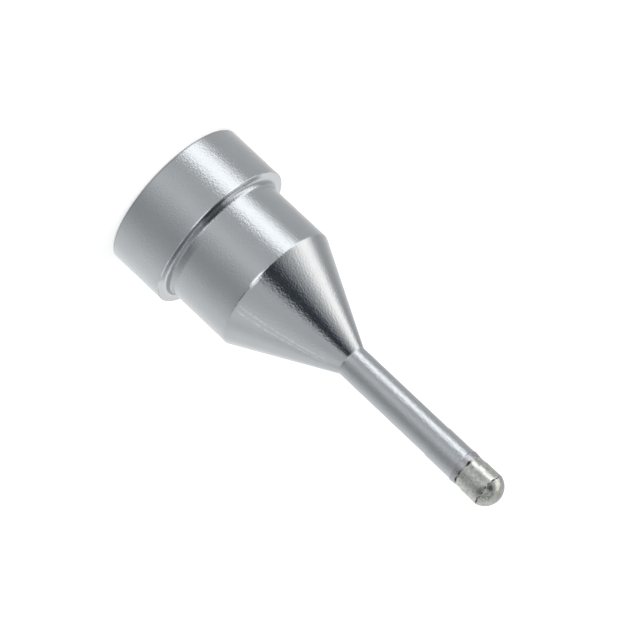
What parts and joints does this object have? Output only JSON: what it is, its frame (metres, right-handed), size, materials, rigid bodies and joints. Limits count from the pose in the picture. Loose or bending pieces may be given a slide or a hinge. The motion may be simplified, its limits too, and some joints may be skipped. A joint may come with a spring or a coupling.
{
  "type": "desoldering nozzle",
  "caption": "Long-reach turned nozzle: wide rear collar with a heater socket, plain barrel, steep cone, and a thin stem whose domed end is coated and closed by solder.",
  "frame": {"origin": "centre of the collar's rear face, which the nozzle stands on", "axes": "+Z along the nozzle's axis, from the collar to the tip; +X and +Y are any two square directions, because the nozzle is round"},
  "size_m": [0.012, 0.012, 0.0322],
  "materials": {
    "plated_metal": "satin plating over the turned metal, with a smoother cone",
    "solder": "bright tinning, a little uneven and warmer than the plating"
  },
  "bodies": {
    "root": {"nozzle_body": "plated_metal", "tinned_tip": "solder"}
  },
  "joints": []
}
